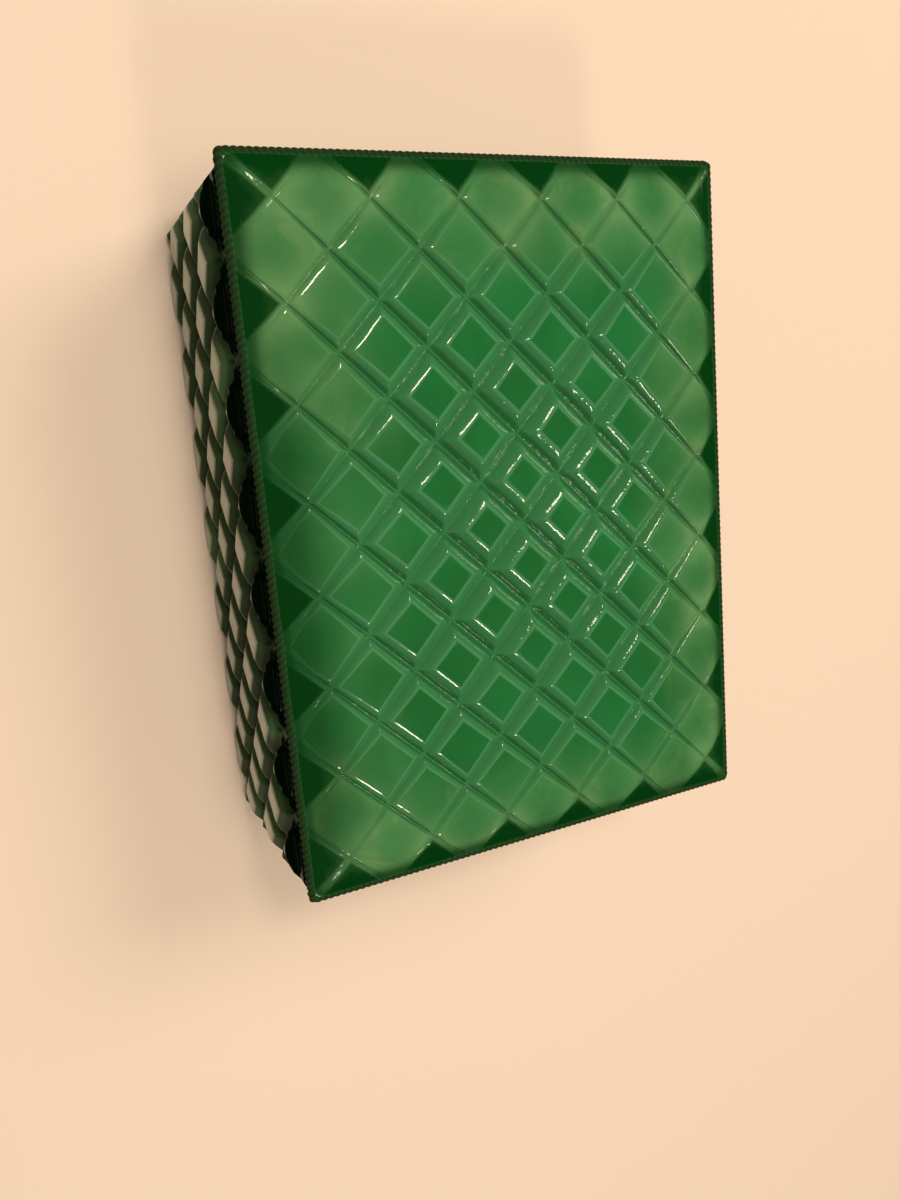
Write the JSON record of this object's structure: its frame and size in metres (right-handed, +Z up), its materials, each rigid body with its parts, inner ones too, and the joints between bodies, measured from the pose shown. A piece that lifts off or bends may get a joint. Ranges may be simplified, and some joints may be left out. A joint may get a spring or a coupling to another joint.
{
  "type": "card deck box",
  "caption": "Rectangular pressed-glass box with a loose lift-off lid, cut all over with a diamond lattice, for storing stacked decks of playing cards.",
  "frame": {"origin": "middle of the underside, on the surface that the box stands on", "axes": "+X across the width, +Y along the length, +Z up, out of the mouth of the base"},
  "size_m": [0.082, 0.1084, 0.0415],
  "materials": {
    "base_glass": "glossy fire-polished pressed glass, translucent marbled jade green, dark in the hollow",
    "lid_glass": "glossy fire-polished pressed glass, translucent marbled jade green, milky towards the edges"
  },
  "bodies": {
    "base": {"base": "base_glass"},
    "lid": {"lid": "lid_glass"}
  },
  "joints": [
    {"name": "lid_lift", "type": "slide", "parent": "base", "child": "lid", "axis": [0, 0, 1], "range_m": [0, 0.07]}
  ]
}
